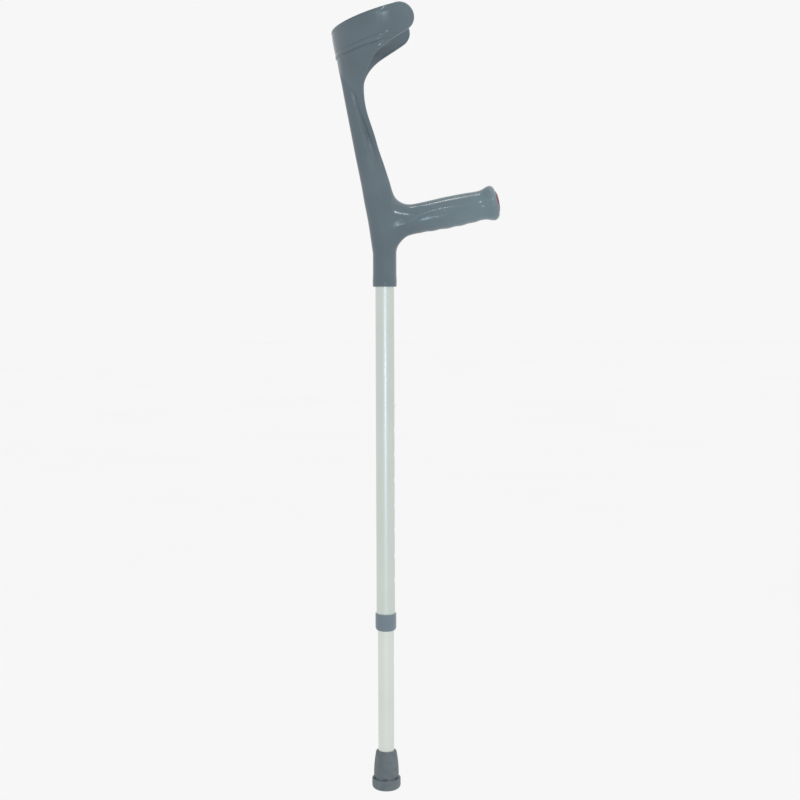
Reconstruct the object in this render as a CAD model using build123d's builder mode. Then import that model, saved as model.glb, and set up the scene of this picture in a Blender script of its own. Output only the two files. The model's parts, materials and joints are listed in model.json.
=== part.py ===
from build123d import *
import os

# Forearm crutch with an open cuff and a push-button leg, in millimetres. The origin is the
# middle of the ferrule's foot, on the axis of the two tubes. +Z points up along the tubes,
# and +X points forward, along the grip. The leg is at its shortest setting.

# Telescopic leg
UPPER_TUBE_RADIUS = 11
UPPER_TUBE_WALL = 1.2
UPPER_TUBE_FOOT = 195.5
UPPER_TUBE_TOP = 684
LOWER_TUBE_RADIUS = 9.5
LOWER_TUBE_WALL = 1.5
LOWER_TUBE_FOOT = 9.5
LOWER_TUBE_TOP = 488
RUNNING_CLEARANCE = 0.05
HOLE_RADIUS = 4
HOLE_COUNT = 8
HOLE_PITCH = 30
TOP_HOLE_HEIGHT = 461

# Sleeve at the foot of the upper tube
COLLAR_RADIUS = 12.5
COLLAR_NOSE_RADIUS = 10.5
COLLAR_NOSE_HEIGHT = 5
COLLAR_FOOT = 191.5
COLLAR_TOP = 211.5

# Snap button
BUTTON_RADIUS = 3.8
BUTTON_HOLE_CLEARANCE = 0.1
BUTTON_DOME = 1.4
BUTTON_TIP = 11.9
BUTTON_SEAT = 4.6
BUTTON_FLANGE_RADIUS = 4.7
BUTTON_FLANGE = 1

# Leaf spring behind the button
SPRING_THICKNESS = 0.6
SPRING_WIDTH = 6
SPRING_FLAT = 12
SPRING_LENGTH = 42
SPRING_BACK_LENGTH = 14
SPRING_WALL_GAP = 1

# Guide bush in the top of the lower tube
BUSH_RIM = 5
BUSH_SPIGOT = 12
BUSH_BORE = 6

# Ferrule and the steel disc inside it
FERRULE_HEIGHT = 46
FERRULE_FOOT_RADIUS = 17
FERRULE_FOOT_HEIGHT = 13.5
FERRULE_FOOT_ROUND = 5
FERRULE_SHOULDER_RADIUS = 14.8
FERRULE_SHOULDER_ROUND = 1.2
FERRULE_BODY_RADIUS = 14.4
FERRULE_BODY_HEIGHT = 29
FERRULE_TOP_RADIUS = 12
FERRULE_TOP_ROUND = 1.6
FERRULE_POCKET_COUNT = 6
FERRULE_POCKET_TURN = -98
FERRULE_POCKET = (2, 2.3, 5)
FERRULE_POCKET_RADIUS = 15.1
FERRULE_POCKET_SPACING = 3.2
FERRULE_RING_RADII = (4, 7.5, 11)
FERRULE_RING_WIDTH = 1.6
FERRULE_RING_DEPTH = 1.4
WASHER_RADIUS = 9.4
WASHER_THICKNESS = 1.5

# Tube socket of the handle moulding, and the rivet on its left side
SOCKET_RADIUS = 13.9
SOCKET_FOOT = 599
SOCKET_TOP = 638
RIVET_HEIGHT = 622
RIVET_RADIUS = 2.4
RIVET_HEAD_RADIUS = 4.8
RIVET_HEAD = 1.4
RIVET_HEAD_ROUND = 1.1
RIVET_TAIL = 3

# Forearm upright and cuff, as horizontal sections of two half ellipses:
# height, widest line's X, radius to the rear, radius to the front, half width
CUFF_SECTIONS = (
    (698, 13, 14, 16, 5.5),
    (724, 4, 14, 18, 9.5),
    (741, -1.5, 13.5, 20, 12.8),
    (770, -10.5, 10, 22, 15.8),
    (815, -23, 13, 30, 17),
    (838, -23, 25, 42, 22),
    (854, -14, 39, 60, 36),
    (870, -6, 50.5, 75, 46.5),
    (895, -5, 55.5, 77, 49),
    (930, -9, 58, 77, 49.5),
)
HOLLOW_SECTIONS = (
    (724, 12, 4, 20, 10),
    (770, -8, 8, 24, 12),
    (815, -22, 10.5, 32, 13.8),
    (838, -22, 22.5, 43, 18.8),
    (854, -13.5, 36, 61, 32.8),
    (870, -6, 47.2, 76, 43.3),
    (895, -5, 52.2, 78, 45.8),
    (930, -9, 54.7, 78, 46.3),
)
SECTION_SPACING = 10

# Rear spine of the upright, as the same kind of section
SPINE_SECTIONS = (
    (SOCKET_TOP, 0, 13.9, 13.9, 13.9),
    (672, -4, 14.9, 19, 13.8),
    (705, -8, 17, 23.5, 13.6),
    (741, -16, 15.8, 17, 13),
    (770, -24, 13.4, 12, 12),
    (815, -36, 10, 8, 10.5),
    (838, -43, 7.3, 7, 9),
    (872, -51, 6, 6, 6),
)

# Side outline of the cuff and upright
TIP_CENTRE = (16.5, 902.3)
TIP_RADIUS = 16.3
TIP_TOP_ANGLE = 106
TIP_FRONT_ANGLE = -57
RIM_REAR = (-75, 890.6)
RIM_MIDDLE = (-30, 904.9)
ARM_EDGE_LENGTH = 29.2
THROAT_RADIUS = 54.4
WAIST_RADIUS = 105
FRONT_LEAN = 18.7
FRONT_FOOT = 697

# Band around the cuff: its lower edge in the side view, and how far it stands out
BAND_REAR = (-75, 856.5)
BAND_FRONT = (40, 888)
BAND_TOP = 940
BAND_GROWTH = 1.2
BAND_FIRST_SECTION = 5

# Grip, as ellipses square to its axis:
# distance along the axis, shift across it, half height, half width
GRIP_RISE = 11.3
GRIP_ROOT_HEIGHT = 671.3
GRIP_SPACING = 3.5
GRIP_SECTIONS = (
    (5, 1, 38, 12.4),
    (12, 3.3, 29.8, 12.8),
    (20, 3.6, 23.9, 13.2),
    (28, 1.2, 18.9, 13.8),
    (36, 0.1, 17.5, 14.3),
    (56, -0.1, 18, 15.2),
    (78, -0.1, 18.6, 15.8),
    (100, 0, 18.2, 15.6),
    (112, 0.2, 17.4, 15.3),
    (117.5, 0.2, 17.4, 15.6),
    (122, 0.3, 18.8, 17.2),
    (125.5, 0.6, 20.2, 19.2),
    (129, 0.6, 21.1, 20.3),
    (132, 0.5, 20, 19.4),
    (134.3, 0.3, 17.6, 17.2),
)

# Reflector in the end of the grip
REFLECTOR_RADIUS = 14.6
REFLECTOR_SEAT = 3
REFLECTOR_DOME = 1.8
REFLECTOR_TAPER = 60

# How far cuts run past a face, and how far side cuts reach either way
CUT_MARGIN = 1
SIDE_REACH = 80


def half_ellipses(height, centre, rear, front, half_width, growth=0.0):
    """One horizontal section of the cuff, as two halves that meet at its widest line."""
    with BuildSketch(Plane.XY.offset(height)) as section:
        with BuildLine():
            side = half_width + growth
            EllipticalCenterArc((centre, 0), rear + growth, side, 90, arc_size=180)
            EllipticalCenterArc((centre, 0), front + growth, side, 270, arc_size=180)
        make_face()
    return section.sketch


def hermite(heights, values, height):
    """The value at a height on a smooth curve that never overshoots its key values."""
    steps = [high - low for low, high in zip(heights, heights[1:])]
    rises = [(b - a) / step for a, b, step in zip(values, values[1:], steps)]
    slopes = [rises[0]]
    for before, after in zip(rises, rises[1:]):
        slopes.append(2 * before * after / (before + after) if before * after > 0 else 0)
    slopes.append(rises[-1])
    i = max(k for k in range(len(steps)) if heights[k] <= height)
    t = (height - heights[i]) / steps[i]
    bend_in = slopes[i] * steps[i] * t * (1 - t) ** 2
    bend_out = slopes[i + 1] * steps[i] * t**2 * (1 - t)
    blend = t**2 * (3 - 2 * t)
    return values[i] + (values[i + 1] - values[i]) * blend + bend_in - bend_out


def closer_sections(keys, spacing):
    """Evenly spaced sections through the key ones, so that a loft keeps to them."""
    heights, *columns = zip(*keys)
    count = round((heights[-1] - heights[0]) / spacing)
    for i in range(count + 1):
        height = heights[0] + (heights[-1] - heights[0]) * i / count
        yield height, *(hermite(heights, column, height) for column in columns)


def ring_section(inner, outer, foot, top):
    """Half a ring's section, for revolving about the tubes' axis."""
    with BuildSketch(Plane.XZ) as section:
        with Locations(((inner + outer) / 2, (foot + top) / 2)):
            Rectangle(outer - inner, top - foot)
    return section.sketch


os.makedirs("parts", exist_ok=True)

upper_bore = UPPER_TUBE_RADIUS - UPPER_TUBE_WALL
lower_bore = LOWER_TUBE_RADIUS - LOWER_TUBE_WALL
lowest_hole = TOP_HOLE_HEIGHT - (HOLE_COUNT - 1) * HOLE_PITCH
washer_foot = LOWER_TUBE_FOOT - WASHER_THICKNESS

# Upper tube, with its adjusting holes along the grip side and the rivet's hole on the left
with BuildPart() as upper_tube:
    add(ring_section(upper_bore, UPPER_TUBE_RADIUS, UPPER_TUBE_FOOT, UPPER_TUBE_TOP))
    revolve(axis=Axis.Z)
    with BuildSketch(Plane.YZ):
        with Locations((0, (lowest_hole + TOP_HOLE_HEIGHT) / 2)):
            with GridLocations(0, HOLE_PITCH, 1, HOLE_COUNT):
                Circle(HOLE_RADIUS)
    extrude(amount=UPPER_TUBE_RADIUS + CUT_MARGIN, mode=Mode.SUBTRACT)
    with BuildSketch(Plane.XZ):
        with Locations((0, RIVET_HEIGHT)):
            Circle(RIVET_RADIUS)
    extrude(amount=-UPPER_TUBE_RADIUS - CUT_MARGIN, mode=Mode.SUBTRACT)
upper_tube.part.label = "upper_tube"
export_step(upper_tube.part, "parts/upper_tube.step")

# Lower tube, with one hole for the button
with BuildPart() as lower_tube:
    add(ring_section(lower_bore, LOWER_TUBE_RADIUS, LOWER_TUBE_FOOT, LOWER_TUBE_TOP))
    revolve(axis=Axis.Z)
    with BuildSketch(Plane.YZ):
        with Locations((0, TOP_HOLE_HEIGHT)):
            Circle(BUTTON_RADIUS + BUTTON_HOLE_CLEARANCE)
    extrude(amount=LOWER_TUBE_RADIUS + CUT_MARGIN, mode=Mode.SUBTRACT)
lower_tube.part.label = "lower_tube"
export_step(lower_tube.part, "parts/lower_tube.step")

# Sleeve at the foot of the upper tube: a bore for that tube over a lip that guides the lower one
with BuildPart() as tube_collar:
    with BuildSketch(Plane.XZ):
        with BuildLine():
            lip_radius = LOWER_TUBE_RADIUS + RUNNING_CLEARANCE
            side = Polyline(
                (COLLAR_NOSE_RADIUS, COLLAR_FOOT),
                (lip_radius, COLLAR_FOOT),
                (lip_radius, UPPER_TUBE_FOOT),
                (UPPER_TUBE_RADIUS, UPPER_TUBE_FOOT),
                (UPPER_TUBE_RADIUS, COLLAR_TOP),
                (COLLAR_RADIUS, COLLAR_TOP),
                (COLLAR_RADIUS, COLLAR_FOOT + COLLAR_NOSE_HEIGHT),
            )
            Spline(side @ 1, side @ 0, tangents=((0, -1), (-1, -0.6)))
        make_face()
    revolve(axis=Axis.Z)
tube_collar.part.label = "tube_collar"
export_step(tube_collar.part, "parts/tube_collar.step")

# Bush pressed into the top of the lower tube, whose rim runs in the upper tube
with BuildPart() as guide_bush:
    bush_radius = upper_bore - RUNNING_CLEARANCE
    add(ring_section(BUSH_BORE, lower_bore, LOWER_TUBE_TOP - BUSH_SPIGOT, LOWER_TUBE_TOP))
    add(ring_section(BUSH_BORE, bush_radius, LOWER_TUBE_TOP, LOWER_TUBE_TOP + BUSH_RIM))
    revolve(axis=Axis.Z)
guide_bush.part.label = "guide_bush"
export_step(guide_bush.part, "parts/guide_bush.step")

# Snap button: a domed pin with a flange that stays inside the lower tube
with BuildPart() as snap_button:
    with BuildSketch(Plane.YZ.offset(BUTTON_SEAT)):
        with Locations((0, TOP_HOLE_HEIGHT)):
            Circle(BUTTON_FLANGE_RADIUS)
    extrude(amount=BUTTON_FLANGE)
    with BuildSketch(Plane.YZ.offset(BUTTON_SEAT)):
        with Locations((0, TOP_HOLE_HEIGHT)):
            Circle(BUTTON_RADIUS)
    extrude(amount=BUTTON_TIP - BUTTON_SEAT)
    fillet(snap_button.edges().filter_by(GeomType.CIRCLE).sort_by(Axis.X)[-1], BUTTON_DOME)
snap_button.part.label = "snap_button"
export_step(snap_button.part, "parts/snap_button.step")

# Leaf spring folded over at its foot, one leg under the button and one by the far wall
with BuildPart() as button_spring:
    with BuildSketch(Plane.XZ):
        with BuildLine():
            spring_head = TOP_HOLE_HEIGHT + SPRING_FLAT / 2
            spring_foot = spring_head - SPRING_LENGTH
            spring_front = BUTTON_SEAT - SPRING_THICKNESS / 2
            flat = Line((spring_front, spring_head), (spring_front, spring_head - SPRING_FLAT))
            Spline(
                flat @ 1,
                (0, spring_foot),
                (SPRING_WALL_GAP - lower_bore, spring_foot + SPRING_BACK_LENGTH),
                tangents=((0, -1), (-0.1, 1)),
            )
        trace(line_width=SPRING_THICKNESS)
    extrude(amount=SPRING_WIDTH / 2, both=True)
button_spring.part.label = "button_spring"
export_step(button_spring.part, "parts/button_spring.step")

# Rubber ferrule: a flared foot with ring grooves underneath, and pairs of small pockets where
# it meets the body
with BuildPart() as ferrule:
    with BuildSketch(Plane.XZ):
        with BuildLine():
            foot = Polyline(
                (0, washer_foot),
                (0, 0),
                (FERRULE_FOOT_RADIUS, 0),
                (FERRULE_FOOT_RADIUS, FERRULE_FOOT_HEIGHT),
                (FERRULE_SHOULDER_RADIUS, FERRULE_FOOT_HEIGHT),
            )
            Spline(
                foot @ 1,
                (FERRULE_BODY_RADIUS, FERRULE_BODY_HEIGHT),
                (FERRULE_TOP_RADIUS, FERRULE_HEIGHT),
            )
            Polyline(
                (FERRULE_TOP_RADIUS, FERRULE_HEIGHT),
                (LOWER_TUBE_RADIUS, FERRULE_HEIGHT),
                (LOWER_TUBE_RADIUS, washer_foot),
                foot @ 0,
            )
        make_face()
    revolve(axis=Axis.Z)
    outer_rims = ferrule.edges().filter_by(GeomType.CIRCLE)
    fillet(outer_rims.group_by(Axis.Z)[0], FERRULE_FOOT_ROUND)
    shoulder_rims = ferrule.edges().filter_by(GeomType.CIRCLE).filter_by_position(
        Axis.Z, FERRULE_FOOT_HEIGHT, FERRULE_FOOT_HEIGHT
    )
    fillet(shoulder_rims.sort_by(SortBy.RADIUS)[-1], FERRULE_SHOULDER_ROUND)
    top_rims = ferrule.edges().filter_by(GeomType.CIRCLE).group_by(Axis.Z)[-1]
    fillet(top_rims.sort_by(SortBy.RADIUS)[-1], FERRULE_TOP_ROUND)
    for ring_radius in FERRULE_RING_RADII:
        ring_inside = ring_radius - FERRULE_RING_WIDTH / 2
        ring_outside = ring_radius + FERRULE_RING_WIDTH / 2
        add(ring_section(ring_inside, ring_outside, -CUT_MARGIN, FERRULE_RING_DEPTH))
    revolve(axis=Axis.Z, mode=Mode.SUBTRACT)
    with Locations((0, 0, FERRULE_FOOT_HEIGHT)):
        with PolarLocations(FERRULE_POCKET_RADIUS, FERRULE_POCKET_COUNT, FERRULE_POCKET_TURN):
            with GridLocations(0, FERRULE_POCKET_SPACING, 1, 2):
                Box(*FERRULE_POCKET, mode=Mode.SUBTRACT)
ferrule.part.label = "ferrule"
export_step(ferrule.part, "parts/ferrule.step")

# Steel disc in the ferrule, under the lower tube's end
with BuildPart() as ferrule_washer:
    with BuildSketch(Plane.XY.offset(washer_foot)):
        Circle(WASHER_RADIUS)
    extrude(amount=WASHER_THICKNESS)
ferrule_washer.part.label = "ferrule_washer"
export_step(ferrule_washer.part, "parts/ferrule_washer.step")

# Planes square to the grip's axis, where it crosses the tubes' axis and at its outer end
grip_axis = Vector(1, 0, 0).rotate(Axis.Y, -GRIP_RISE)
grip_root = Plane((0, 0, GRIP_ROOT_HEIGHT), x_dir=(0, 1, 0), z_dir=grip_axis)
grip_end = grip_root.offset(GRIP_SECTIONS[-1][0])

# Side outline that gives the cuff's rim, its rounded tips and the upright's front edge
with BuildSketch(Plane.XZ) as upright_outline:
    with BuildLine():
        tip = CenterArc(TIP_CENTRE, TIP_RADIUS, TIP_TOP_ANGLE, TIP_FRONT_ANGLE - TIP_TOP_ANGLE)
        arm_edge = Line(tip @ 1, tip @ 1 + (tip % 1) * ARM_EDGE_LENGTH)
        throat = JernArc(arm_edge @ 1, arm_edge % 1, THROAT_RADIUS, -TIP_FRONT_ANGLE)
        waist = JernArc(throat @ 1, throat % 1, WAIST_RADIUS, FRONT_LEAN)
        front_length = (FRONT_FOOT - (waist @ 1).Y) / (waist % 1).Y
        front = Line(waist @ 1, waist @ 1 + (waist % 1) * front_length)
        Polyline(front @ 1, ((front @ 1).X, SOCKET_TOP), (RIM_REAR[0], SOCKET_TOP), RIM_REAR)
        ThreePointArc(RIM_REAR, RIM_MIDDLE, tip @ 0)
    make_face()

# Side area that the band around the cuff covers
with BuildSketch(Plane.XZ) as band_outline:
    with BuildLine():
        band_corners = (BAND_FRONT[0], BAND_TOP), (BAND_REAR[0], BAND_TOP)
        Polyline(BAND_REAR, BAND_FRONT, *band_corners, close=True)
    make_face()

# Cuff, upright and spine, before they are hollowed
with BuildPart() as upright:
    for section in closer_sections(CUFF_SECTIONS, SECTION_SPACING):
        add(half_ellipses(*section))
    loft()
    for section in closer_sections(SPINE_SECTIONS, SECTION_SPACING):
        add(half_ellipses(*section))
    loft()
    extrude(upright_outline.sketch, SIDE_REACH, (0, 1, 0), both=True, mode=Mode.INTERSECT)

# Thicker band around the cuff
with BuildPart() as cuff_band:
    for section in closer_sections(CUFF_SECTIONS[BAND_FIRST_SECTION:], SECTION_SPACING):
        add(half_ellipses(*section, growth=BAND_GROWTH))
    loft()
    extrude(upright_outline.sketch, SIDE_REACH, (0, 1, 0), both=True, mode=Mode.INTERSECT)
    extrude(band_outline.sketch, SIDE_REACH, (0, 1, 0), both=True, mode=Mode.INTERSECT)

# Handle moulding: cuff, upright, socket and grip in one
with BuildPart() as handle_moulding:
    add(upright.part)
    add(cuff_band.part)
    for section in closer_sections(HOLLOW_SECTIONS, SECTION_SPACING):
        add(half_ellipses(*section))
    loft(mode=Mode.SUBTRACT)
    with BuildSketch(Plane.XY.offset(SOCKET_FOOT)):
        Circle(SOCKET_RADIUS)
    extrude(amount=SOCKET_TOP - SOCKET_FOOT)
    for along, across, half_height, half_width in closer_sections(GRIP_SECTIONS, GRIP_SPACING):
        with BuildSketch(grip_root.offset(along)):
            with Locations((0, across)):
                Ellipse(half_width, half_height)
    loft()
    with BuildSketch(Plane.XY.offset(SOCKET_FOOT - CUT_MARGIN)):
        Circle(UPPER_TUBE_RADIUS)
    extrude(amount=UPPER_TUBE_TOP - SOCKET_FOOT + CUT_MARGIN, mode=Mode.SUBTRACT)
    with BuildSketch(grip_end):
        Circle(REFLECTOR_RADIUS)
    extrude(amount=-REFLECTOR_SEAT, mode=Mode.SUBTRACT)
    with BuildSketch(Plane.XZ):
        with Locations((0, RIVET_HEIGHT)):
            Circle(RIVET_RADIUS)
    extrude(amount=-SOCKET_RADIUS - CUT_MARGIN, mode=Mode.SUBTRACT)
handle_moulding.part.label = "handle_moulding"
export_step(handle_moulding.part, "parts/handle_moulding.step")

# Domed reflector in the end of the grip
with BuildPart() as grip_reflector:
    with BuildSketch(grip_end.offset(-REFLECTOR_SEAT)):
        Circle(REFLECTOR_RADIUS)
    extrude(amount=REFLECTOR_SEAT)
    with BuildSketch(grip_end):
        Circle(REFLECTOR_RADIUS)
    extrude(amount=REFLECTOR_DOME, taper=REFLECTOR_TAPER)
grip_reflector.part.label = "grip_reflector"
export_step(grip_reflector.part, "parts/grip_reflector.step")

# Blind rivet in the left of the socket, through the moulding and the upper tube
with BuildPart() as handle_rivet:
    with BuildSketch(Plane.XZ.offset(-SOCKET_RADIUS)):
        with Locations((0, RIVET_HEIGHT)):
            Circle(RIVET_HEAD_RADIUS)
    extrude(amount=-RIVET_HEAD)
    fillet(handle_rivet.edges().sort_by(Axis.Y)[-1], RIVET_HEAD_ROUND)
    with BuildSketch(Plane.XZ.offset(-SOCKET_RADIUS)):
        with Locations((0, RIVET_HEIGHT)):
            Circle(RIVET_RADIUS)
    extrude(amount=SOCKET_RADIUS - upper_bore + RIVET_TAIL)
handle_rivet.part.label = "handle_rivet"
export_step(handle_rivet.part, "parts/handle_rivet.step")
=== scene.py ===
import json
import math

import bmesh
import bpy
import numpy as np
from mathutils import Euler, Matrix, Vector
from mathutils.kdtree import KDTree


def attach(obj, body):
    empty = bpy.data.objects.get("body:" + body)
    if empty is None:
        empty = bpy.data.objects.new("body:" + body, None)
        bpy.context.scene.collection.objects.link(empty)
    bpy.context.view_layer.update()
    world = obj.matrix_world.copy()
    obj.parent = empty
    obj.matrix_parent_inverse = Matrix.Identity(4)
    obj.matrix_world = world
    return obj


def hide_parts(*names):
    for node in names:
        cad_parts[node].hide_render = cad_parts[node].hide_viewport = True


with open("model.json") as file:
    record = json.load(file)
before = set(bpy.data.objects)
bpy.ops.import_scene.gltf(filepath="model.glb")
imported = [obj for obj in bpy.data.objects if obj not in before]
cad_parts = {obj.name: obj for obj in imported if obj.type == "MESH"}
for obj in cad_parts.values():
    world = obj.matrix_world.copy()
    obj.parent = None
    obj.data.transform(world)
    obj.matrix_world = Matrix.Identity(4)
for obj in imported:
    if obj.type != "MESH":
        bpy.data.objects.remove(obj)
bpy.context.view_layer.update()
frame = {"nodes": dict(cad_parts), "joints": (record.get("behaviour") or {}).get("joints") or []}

nodes = frame["nodes"]
scene = bpy.context.scene
scene.view_settings.view_transform = "Standard"

MM = 0.001

# ---------------------------------------------------------------- handle moulding, in millimetres
# Grid that the moulding is reshaped on, and the most triangles that it ends with
VOXEL = 0.5
TRIANGLE_LIMIT = 196000

# How far its edges are rounded, and how much softer the grip's root, the corner over the grip
# and the fold between spine and cuff are
ROUNDING = 0.85
ROOT_SOFTENING = 3.4
CORNER_SOFTENING = 5.5
FOLD_SOFTENING = 1.4

# Cuff in the side view: the line under the band, the rim, the heights of bead and lip at the
# rear and at the front, and where the relief fades out towards the arms' tips
BAND_START = (-52.5, 862.66)
BAND_SLOPE = 0.2739
RIM_START = (-30, 904.9)
RIM_SLOPE = 0.3144
RIM_CURVE = -0.000076
BEAD_REAR = (-55, 4.4)
BEAD_FRONT = (-1, 7.6)
LIP_REAR = (-60, 4.2)
LIP_FRONT = (-6, 5.8)
RELIEF_FADE = (6, -8)

# Cuff's relief: height of the bead, depth of the panel and of the lip's bevel, and the grooves
# under the bead, over it and under the lip
BEAD_HEIGHT = 0.75
PANEL_DEPTH = 0.5
PANEL_WALL = 1.3
BEVEL_DEPTH = 0.7
BAND_GROOVE = 0.95
FINE_GROOVE_SHARE = 0.45
CUFF_GROOVE_WIDTH = 0.8

# Middle of the forearm's hollow, as height and X
HOLLOW_HEIGHTS = (838, 854, 870, 895)
HOLLOW_MIDDLES = (-14, -10, -6, -5)

# Groove between the spine and the front rim, in the side view, and its depth along the way
UPRIGHT_GROOVE = 0.5
UPRIGHT_GROOVE_WIDTH = 0.7
UPRIGHT_GROOVE_LINE = (
    (-48.5, 862),
    (-43, 836),
    (-35.6, 821),
    (-32.2, 815),
    (-29.8, 805),
    (-25.9, 793),
    (-21.4, 781),
    (-17.2, 769),
    (-14.2, 760),
    (-11.2, 751),
    (-7.8, 741.5),
    (-4.5, 733),
    (-1.5, 726),
)
UPRIGHT_GROOVE_SHARES = (0, 0.06, 0.3, 0.4, 0.8, 1)
UPRIGHT_GROOVE_DEPTHS = (0, 0.35, 0.6, 1, 1, 0)

# Grip: its axis in the side view, the crest along each side with a hollow under it, and
# shallow finger waves underneath
GRIP_ROOT_HEIGHT = 671.3
GRIP_AXIS = (0.9806, 0.1959)
GRIP_END = 134
CREST = 0.35
CREST_OFFSET = 1.2
CREST_WIDTH = 2.6
CREST_HOLLOW = 0.6
CREST_LINE = (
    (12, 668),
    (16, 668.5),
    (26, 670.5),
    (33, 676),
    (42, 680.5),
    (54, 685.5),
    (66, 688.8),
    (82, 690.5),
    (100, 691.5),
    (114, 693.5),
)
FINGER_WAVE = 0.3
FINGER_PITCH = 17

# Socket's mouth turns out a little
SOCKET_LIP = 0.3

# ---------------------------------------------------------------- studio, in metres
ROOM_TONE = 0.93
ROOM_LIFT = 0.7
ROOM_LIFT_HEIGHTS = (0.3, 0.55)
FLOOR_HALF_SIDE = 40.0
FLOOR_TONES = ((0.2, 0.2, 0.2), (0.21, 0.21, 0.21))
FLOOR_GLOW = 0.733

EYE_HEIGHT = 0.5631
DISTANCE = 1.52
YAW = math.radians(2.2)
PITCH = math.radians(2.957)
ROLL = math.radians(-0.2)
SENSOR_WIDTH = 36
LENS = 58.055
SHIFT_X = 0.01866
SHIFT_Y = -0.02


# ---------------------------------------------------------------- materials
class Nodes:
    """A short way to build a node material. Lengths are in metres, and noise scales in
    features a metre."""

    def __init__(self, name):
        self.mat = bpy.data.materials.new(name)
        self.mat.use_nodes = True
        self.tree = self.mat.node_tree
        self.shader = self.tree.nodes["Principled BSDF"]
        self.place = self.add("ShaderNodeTexCoord").outputs["Object"]

    def add(self, kind):
        return self.tree.nodes.new(kind)

    def put(self, socket, value):
        """Links another node's output, or sets a plain value."""
        if isinstance(value, bpy.types.NodeSocket):
            self.tree.links.new(value, socket)
        else:
            socket.default_value = value

    def noise(self, scale, detail=3.0, stretch=None, rough=0.5):
        place = self.place
        if stretch:
            mapping = self.add("ShaderNodeMapping")
            self.put(mapping.inputs["Vector"], place)
            mapping.inputs["Scale"].default_value = stretch
            place = mapping.outputs["Vector"]
        node = self.add("ShaderNodeTexNoise")
        self.put(node.inputs["Vector"], place)
        node.inputs["Scale"].default_value = scale
        node.inputs["Detail"].default_value = detail
        node.inputs["Roughness"].default_value = rough
        return node.outputs["Fac"]

    def spread(self, value, low, high, low_in=0.3, high_in=0.7):
        """Carries low_in to high_in over to low to high, and holds the ends."""
        node = self.add("ShaderNodeMapRange")
        self.put(node.inputs["Value"], value)
        node.inputs["From Min"].default_value = low_in
        node.inputs["From Max"].default_value = high_in
        node.inputs["To Min"].default_value = low
        node.inputs["To Max"].default_value = high
        return node.outputs["Result"]

    def mix(self, factor, first, second, blend="MIX"):
        node = self.add("ShaderNodeMix")
        node.data_type = "RGBA"
        node.blend_type = blend
        sockets = {socket.identifier: socket for socket in node.inputs}
        self.put(sockets["Factor_Float"], factor)
        for key, color in (("A_Color", first), ("B_Color", second)):
            plain = isinstance(color, tuple)
            self.put(sockets[key], (*color, 1.0) if plain else color)
        return next(s for s in node.outputs if s.identifier == "Result_Color")

    def scaled(self, color, gains):
        """A colour times three gains."""
        node = self.add("ShaderNodeCombineColor")
        for socket, gain in zip(node.inputs, gains):
            self.put(socket, gain)
        return self.mix(1.0, color, node.outputs[0], "MULTIPLY")

    def math(self, operation, first, second):
        node = self.add("ShaderNodeMath")
        node.operation = operation
        self.put(node.inputs[0], first)
        self.put(node.inputs[1], second)
        return node.outputs[0]

    def bump(self, height, distance, strength, normal=None):
        node = self.add("ShaderNodeBump")
        self.put(node.inputs["Height"], height)
        node.inputs["Distance"].default_value = distance
        node.inputs["Strength"].default_value = strength
        if normal is not None:
            self.put(node.inputs["Normal"], normal)
        return node.outputs["Normal"]

    def finish(self, color, roughness, normal=None, **fixed):
        self.put(self.shader.inputs["Base Color"], color)
        self.put(self.shader.inputs["Roughness"], roughness)
        if normal is not None:
            self.put(self.shader.inputs["Normal"], normal)
        for key, value in fixed.items():
            self.shader.inputs[key.replace("_", " ")].default_value = value
        return self.mat


def moulded_plastic(name, dark, light, gloss=(0.13, 0.19), rubbed=None, painted_light_along_x=None):
    """Moulded plastic: slow colour variation, fine speckle and a faint ripple. rubbed is a
    stretch of heights worn dull. The last argument is a stretch out along X and the gains of
    its colour from there on: painted light, lighter towards that end as if lit from there."""
    n = Nodes(name)
    color = n.mix(n.spread(n.noise(22, 3), 0, 1), dark, light)
    speck = n.spread(n.noise(2600, 2), 0.94, 1.06, 0.25, 0.75)
    color = n.scaled(color, [speck] * 3)
    rough = n.spread(n.noise(60, 5), *gloss)
    axes = n.add("ShaderNodeSeparateXYZ")
    n.put(axes.inputs[0], n.place)
    # Painted light: the colour grows lighter out along X, standing in for light falling on that
    # side
    if painted_light_along_x:
        start, end, gains = painted_light_along_x
        out = axes.outputs["X"]
        color = n.scaled(color, [n.spread(out, 1, gain, start, end) for gain in gains])
    if rubbed:
        low, high = rubbed
        height = axes.outputs["Z"]
        worn = n.math(
            "MULTIPLY",
            n.spread(height, 0, 1, low, low + 0.05),
            n.spread(height, 1, 0, high - 0.03, high),
        )
        haze = n.spread(n.noise(75, 6, rough=0.65), 0.04, 0.24, 0.35, 0.62)
        rough = n.math("ADD", rough, n.math("MULTIPLY", worn, haze))
    ripple = n.bump(n.noise(90, 2), 0.0004, 0.1)
    grain = n.bump(n.noise(2400, 2), 0.00002, 0.12, ripple)
    return n.finish(color, rough, grain, IOR=1.48)


def satin_metal(name, color, rough, drawn=True):
    """Anodised or plated metal with faint lengthwise draw lines and dull patches."""
    n = Nodes(name)
    lines = n.noise(900, 3, (1, 1, 0.012) if drawn else None)
    patch = n.noise(14, 4)
    shade = n.scaled(color, [n.spread(patch, 0.97, 1.03)] * 3)
    mixed = n.math("ADD", n.math("MULTIPLY", lines, 0.5), n.math("MULTIPLY", patch, 0.5))
    return n.finish(shade, n.spread(mixed, *rough), n.bump(lines, 0.00004, 0.4), Metallic=1.0)


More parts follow.
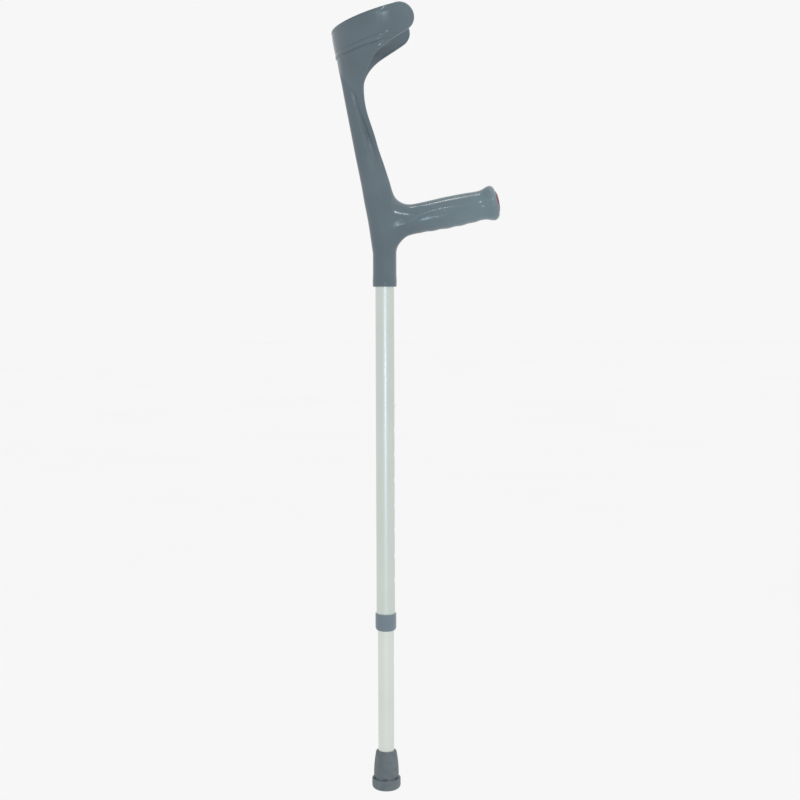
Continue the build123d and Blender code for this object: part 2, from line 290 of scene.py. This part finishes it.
def rubber(name, dark, light):
    """Moulded rubber: cloudy colour, soft upright ridges and a fine dull grain."""
    n = Nodes(name)
    color = n.mix(n.spread(n.noise(110, 5), 0, 1), dark, light)
    rough = n.spread(n.noise(120, 4), 0.46, 0.66)
    ridges = n.bump(n.noise(330, 2, (1, 1, 0.12)), 0.0005, 0.35)
    grain = n.bump(n.noise(1900, 3), 0.00012, 0.5, ridges)
    return n.finish(color, rough, grain, IOR=1.45)


def paint(obj, mat):
    obj.data.materials.clear()
    obj.data.materials.append(mat)


# The handle's colour is painted lighter out along X towards the grip's end: painted light,
# standing in for light falling on the grip from the right
handle_plastic = moulded_plastic(
    "handle_plastic",
    (0.088, 0.122, 0.142),
    (0.106, 0.145, 0.168),
    rubbed=(0.7, 0.845),
    painted_light_along_x=(-0.002, 0.115, (1.52, 1.53, 1.5)),
)
finishes = {
    "upper_tube": satin_metal("tube_aluminium", (0.62, 0.67, 0.635), (0.32, 0.4)),
    "lower_tube": satin_metal("leg_aluminium", (0.7, 0.735, 0.695), (0.38, 0.46)),
    "tube_collar": moulded_plastic("collar_plastic", (0.142, 0.187, 0.218), (0.158, 0.206, 0.24)),
    "guide_bush": moulded_plastic("bush_plastic", (0.045, 0.045, 0.05), (0.06, 0.06, 0.065)),
    "snap_button": satin_metal("button_steel", (0.8, 0.8, 0.81), (0.12, 0.22), drawn=False),
    "button_spring": satin_metal("spring_steel", (0.45, 0.45, 0.47), (0.3, 0.45)),
    "ferrule": rubber("ferrule_rubber", (0.098, 0.121, 0.136), (0.138, 0.166, 0.178)),
    "ferrule_washer": satin_metal("washer_steel", (0.6, 0.6, 0.6), (0.3, 0.45), drawn=False),
    "handle_moulding": handle_plastic,
    "grip_reflector": moulded_plastic(
        "reflector_red", (0.13, 0.006, 0.011), (0.17, 0.009, 0.014), gloss=(0.1, 0.2)
    ),
    "handle_rivet": satin_metal("rivet_aluminium", (0.72, 0.72, 0.73), (0.25, 0.4), drawn=False),
}
for name, mat in finishes.items():
    paint(nodes[name], mat)


# ---------------------------------------------------------------- handle moulding
def ramp(value, start, end):
    """0 at start, 1 at end, smooth between, and held beyond."""
    value = np.clip((value - start) / (end - start), 0, 1)
    return value * value * (3 - 2 * value)


def bell(distance, width):
    return np.exp(-((distance / width) ** 2))


def along_line(line, x, z):
    """Signed distance below a line in the side view, and the share of its length reached."""
    line = np.array(line, float)
    runs = np.diff(line, axis=0)
    lengths = np.hypot(runs[:, 0], runs[:, 1])
    best = np.full(x.shape, np.inf)
    sign = np.ones(x.shape)
    share = np.zeros(x.shape)
    before = 0.0
    for start, run, length in zip(line, runs, lengths):
        t = ((x - start[0]) * run[0] + (z - start[1]) * run[1]) / length**2
        t = np.clip(t, 0, 1)
        dx = x - start[0] - t * run[0]
        dz = z - start[1] - t * run[1]
        away = np.hypot(dx, dz)
        near = away < best
        best = np.where(near, away, best)
        sign = np.where(near, np.sign(run[1] * dx - run[0] * dz), sign)
        share = np.where(near, (before + t * length) / lengths.sum(), share)
        before += length
    return best * sign, share


def along_grip(x, z):
    """Distance out along the grip's axis."""
    return x * GRIP_AXIS[0] + (z - GRIP_ROOT_HEIGHT) * GRIP_AXIS[1]


class Relaxer:
    """Moves points towards the middle of their neighbours, each by its own weight."""

    def __init__(self, mesh, voxel):
        ends = np.zeros(len(mesh.edges) * 2, int)
        mesh.edges.foreach_get("vertices", ends)
        ends = ends.reshape(-1, 2)
        self.ends = np.concatenate([ends[:, 0], ends[:, 1]])
        self.others = np.concatenate([ends[:, 1], ends[:, 0]])
        self.neighbours = np.bincount(self.ends, minlength=len(mesh.vertices))
        self.voxel = voxel

    def relax(self, points, rounds, weight):
        moved = np.flatnonzero(weight)
        row = np.full(len(points), -1)
        row[moved] = np.arange(len(moved))
        kept = row[self.ends] >= 0
        ends, others = row[self.ends[kept]], self.others[kept]
        neighbours = self.neighbours[moved, None]
        weight = weight[moved, None]
        for _ in range(rounds):
            sums = [np.bincount(ends, points[others, i], len(moved)) for i in range(3)]
            points[moved] += (np.stack(sums, axis=1) / neighbours - points[moved]) * weight
        return points

    def round_off(self, points, reach, share):
        """Rounds edges off over about a reach in millimetres, by a share from 0 to 1."""
        return self.relax(points, int(4 * reach**2 / self.voxel**2), 0.5 * share)


def surface_normals(mesh):
    flat = np.zeros(len(mesh.vertices) * 3)
    mesh.vertex_normals.foreach_get("vector", flat)
    return flat.reshape(-1, 3)


def soften(p, relaxer):
    """Rounded edges everywhere, softer where the web runs into the spine and the grip begins."""
    before_end = ramp(along_grip(p[:, 0], p[:, 2]), GRIP_END, GRIP_END - 3)
    p = relaxer.round_off(p, ROUNDING, 0.2 + 0.8 * before_end)
    x, y, z = p.T
    fold = ramp(z, 812, 824) * ramp(z, 866, 858) * ramp(x, -26, -32) * ramp(np.abs(y), 4, 7)
    over_grip = ramp(np.hypot(x - 12, (z - 692) * 0.5), 23.8, 9.8) * ramp(z, 652, 658)
    under_grip = ramp(np.hypot(x - 17, z - 652), 16, 6)
    groove_foot = ramp(z, 776, 754) * ramp(z, 690, 700) * ramp(x, -22, -14)
    root = np.maximum.reduce([over_grip, under_grip, groove_foot])
    p = relaxer.round_off(p, ROOT_SOFTENING, root)
    p = relaxer.round_off(p, FOLD_SOFTENING, fold)
    corner = ramp(np.hypot(p[:, 0] - 14, p[:, 2] - 702), 20.9, 9.9)
    return relaxer.round_off(p, CORNER_SOFTENING, corner)


def cuff_relief(x, y, z, normal):
    """A sunk panel between a bevelled lip and a bead, with a groove under the bead."""
    around = np.stack([x - np.interp(z, HOLLOW_HEIGHTS, HOLLOW_MIDDLES), y], axis=1)
    around /= np.maximum(np.hypot(around[:, 0], around[:, 1]), 1e-6)[:, None]
    outside = ramp((around * normal[:, :2]).sum(axis=1), 0.2, 0.6)
    band = BAND_START[1] + (x - BAND_START[0]) * BAND_SLOPE
    bead = np.interp(x, *zip(BEAD_REAR, BEAD_FRONT))
    rim = RIM_START[1] + RIM_SLOPE * (x - RIM_START[0]) + RIM_CURVE * (x - RIM_START[0]) ** 2
    lip = np.interp(x, *zip(LIP_REAR, LIP_FRONT))
    over_bead = z - band - bead
    under_lip = rim - lip - z
    fade = ramp(x, *RELIEF_FADE)
    panel = ramp(over_bead, 0, PANEL_WALL) * ramp(under_lip, 0, PANEL_WALL) * fade
    arch = np.sqrt(np.clip(1 - ((z - band - bead / 2) / (bead / 2)) ** 2, 0, 1))
    raised = arch * fade * ramp(x, -60, -46)
    bevel = ramp(z, rim - lip, rim) * ramp(x, -1, -9)
    fine = bell(over_bead - 0.5, CUFF_GROOVE_WIDTH) + bell(under_lip - 0.3, CUFF_GROOVE_WIDTH)
    grooves = (bell(z - band + 0.6, CUFF_GROOVE_WIDTH) + FINE_GROOVE_SHARE * fine) * fade
    relief = BEAD_HEIGHT * raised - PANEL_DEPTH * panel
    relief -= BEVEL_DEPTH * bevel + BAND_GROOVE * grooves
    return outside * (z > band - 6) * relief


def upright_relief(x, y, z, normal):
    """The groove between the spine and the front rim, on the outside of each side."""
    off, share = along_line(UPRIGHT_GROOVE_LINE, x, z)
    depth = np.interp(share, UPRIGHT_GROOVE_SHARES, UPRIGHT_GROOVE_DEPTHS)
    side = ramp(np.abs(normal[:, 1]), 0.15, 0.45) * (np.abs(y) > 6)
    side = side * (np.sign(normal[:, 1]) == np.sign(y))
    return -UPRIGHT_GROOVE * bell(off, UPRIGHT_GROOVE_WIDTH) * depth * side


def grip_relief(x, z, normal):
    """A crest along each side of the grip with a hollow under it, and finger waves below."""
    off, share = along_line(CREST_LINE, x, z)
    crest = CREST * bell(off + CREST_OFFSET, CREST_WIDTH)
    crest -= CREST_HOLLOW * ramp(off, 0, 1.6) * ramp(off, 15, 3)
    crest *= ramp(share, 0, 0.1) * ramp(share, 1, 0.88) * (z < 712) * (z > 655)
    along = along_grip(x, z)
    wave = FINGER_WAVE * np.sin(along * (2 * math.pi / FINGER_PITCH))
    wave *= ramp(along, 34, 44) * ramp(along, 116, 108) * (z < 690)
    return crest * ramp(np.abs(normal[:, 1]), 0.1, 0.6) + wave * ramp(-normal[:, 2], 0.3, 0.8)


def replace_mesh(obj):
    """Bakes an object's modifiers into its mesh."""
    shape = obj.evaluated_get(bpy.context.evaluated_depsgraph_get())
    obj.data = bpy.data.meshes.new_from_object(shape)
    obj.modifiers.clear()


def moulding_mesh(source, voxel):
    """The handle as moulded, worked out from the CAD mesh."""
    bm = bmesh.new()
    bm.from_mesh(source.data)
    bmesh.ops.remove_doubles(bm, verts=bm.verts, dist=1e-6)
    base = bpy.data.meshes.new("moulding_base")
    bm.to_mesh(base)
    bm.free()
    obj = bpy.data.objects.new("handle_shell", base)
    scene.collection.objects.link(obj)
    remesh = obj.modifiers.new("voxels", "REMESH")
    remesh.mode = "VOXEL"
    remesh.voxel_size = voxel * MM
    replace_mesh(obj)
    mesh = obj.data
    relaxer = Relaxer(mesh, voxel)

    def put(points):
        mesh.vertices.foreach_set("co", (points * MM).ravel())
        mesh.update()

    flat = np.zeros(len(mesh.vertices) * 3)
    mesh.vertices.foreach_get("co", flat)
    p = soften(flat.reshape(-1, 3) / MM, relaxer)
    put(p)
    normal = surface_normals(mesh)
    x, y, z = p.T
    move = cuff_relief(x, y, z, normal) + upright_relief(x, y, z, normal)
    move += grip_relief(x, z, normal)
    move += SOCKET_LIP * ramp(z, 614, 607) * ramp(np.hypot(x, y), 12.6, 13.4)
    p = p + normal * move[:, None]
    p = relaxer.relax(p, 2, np.full(len(p), 0.3))
    put(p)

    # The thinned mesh keeps the fine one's smooth shading
    shading = relaxer.relax(surface_normals(mesh), 4, np.full(len(p), 0.5))
    tree = KDTree(len(p))
    for i, place in enumerate(p):
        tree.insert(place, i)
    tree.balance()
    triangles = len(mesh.polygons) * 2
    if triangles > TRIANGLE_LIMIT:
        thin = obj.modifiers.new("thin", "DECIMATE")
        thin.ratio = TRIANGLE_LIMIT / triangles
        replace_mesh(obj)
    mesh = obj.data
    mesh.name = "handle_shell"
    mesh.polygons.foreach_set("use_smooth", [True] * len(mesh.polygons))
    blend = np.zeros((len(mesh.vertices), 3))
    for i, vertex in enumerate(mesh.vertices):
        for _, near, away in tree.find_n(vertex.co / MM, 4):
            blend[i] += shading[near] / (away * away + 0.01)
    blend /= np.linalg.norm(blend, axis=1)[:, None]
    mesh.normals_split_custom_set_from_vertices(blend)
    return obj


shell = moulding_mesh(nodes["handle_moulding"], VOXEL)
paint(shell, handle_plastic)
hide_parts("handle_moulding")
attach(shell, "handle")

# ---------------------------------------------------------------- studio
# An even white room, its upper part a little brighter on the grip's side
world = bpy.data.worlds.new("studio")
scene.world = world
world.use_nodes = True
tree = world.node_tree
background = tree.nodes["Background"]
background.inputs["Color"].default_value = (ROOM_TONE, ROOM_TONE, ROOM_TONE, 1)
toward = tree.nodes.new("ShaderNodeSeparateXYZ")
tree.links.new(tree.nodes.new("ShaderNodeTexCoord").outputs["Generated"], toward.inputs[0])
high = tree.nodes.new("ShaderNodeMapRange")
tree.links.new(toward.outputs["Z"], high.inputs["Value"])
high.inputs["From Min"].default_value = ROOM_LIFT_HEIGHTS[0]
high.inputs["From Max"].default_value = ROOM_LIFT_HEIGHTS[1]
high.inputs["To Max"].default_value = ROOM_LIFT
lean = tree.nodes.new("ShaderNodeMath")
lean.operation = "MULTIPLY_ADD"
tree.links.new(toward.outputs["X"], lean.inputs[0])
tree.links.new(high.outputs["Result"], lean.inputs[1])
lean.inputs[2].default_value = 1.0
tree.links.new(lean.outputs[0], background.inputs["Strength"])

# The floor, as low as the ferrule goes, so that the crutch stands on it with the leg drawn out
floor_mesh = bpy.data.meshes.new("floor")
side = FLOOR_HALF_SIDE
corners = [(-side, -side, 0), (side, -side, 0), (side, side, 0), (-side, side, 0)]
floor_mesh.from_pydata(corners, [], [(0, 1, 2, 3)])
floor = bpy.data.objects.new("floor", floor_mesh)
joints = {joint["name"]: joint for joint in frame["joints"]}
floor.location.z = -joints["leg_slide"]["range_m"][1]
scene.collection.objects.link(floor)
n = Nodes("floor_paint")
pale = n.mix(n.spread(n.noise(0.8, 2), 0, 1), *FLOOR_TONES)
paint(floor, n.finish(pale, n.spread(n.noise(3), 0.85, 0.95), Specular_IOR_Level=0.0))
n.shader.inputs["Emission Color"].default_value = (1, 1, 1, 1)
n.shader.inputs["Emission Strength"].default_value = FLOOR_GLOW


def lamp(name, place, target, size, power, tint=(1, 1, 1), height=None):
    """A soft lamp: a disc, or a rectangle where it has a height."""
    data = bpy.data.lights.new(name, "AREA")
    data.shape = "RECTANGLE" if height else "DISK"
    data.size = size
    data.size_y = height or size
    data.energy = power
    data.color = tint
    obj = bpy.data.objects.new(name, data)
    obj.location = place
    obj.rotation_euler = (Vector(target) - Vector(place)).to_track_quat("-Z", "Y").to_euler()
    scene.collection.objects.link(obj)


lamp("strip", (0.03, -1.5, 0.42), (0.03, 0, 0.42), 0.05, 1.05, (0.6, 0.81, 1.0), height=0.32)
lamp("flash", (0.01, -1.5, 1.35), (0, 0, 0.65), 0.04, 1.6, (0.85, 0.95, 1.0))
lamp("top", (-0.04, -0.05, 1.9), (0, 0, 0.7), 0.22, 1.1)

camera_data = bpy.data.cameras.new("camera")
camera_data.sensor_width = SENSOR_WIDTH
camera_data.lens = LENS
camera_data.shift_x = SHIFT_X
camera_data.shift_y = SHIFT_Y
camera = bpy.data.objects.new("camera", camera_data)
camera.location = (-DISTANCE * math.sin(YAW), -DISTANCE * math.cos(YAW), EYE_HEIGHT)
aim = Euler((math.pi / 2 - PITCH, 0, -YAW)).to_matrix() @ Matrix.Rotation(ROLL, 3, "Z")
camera.rotation_euler = aim.to_euler()
scene.collection.objects.link(camera)
scene.camera = camera
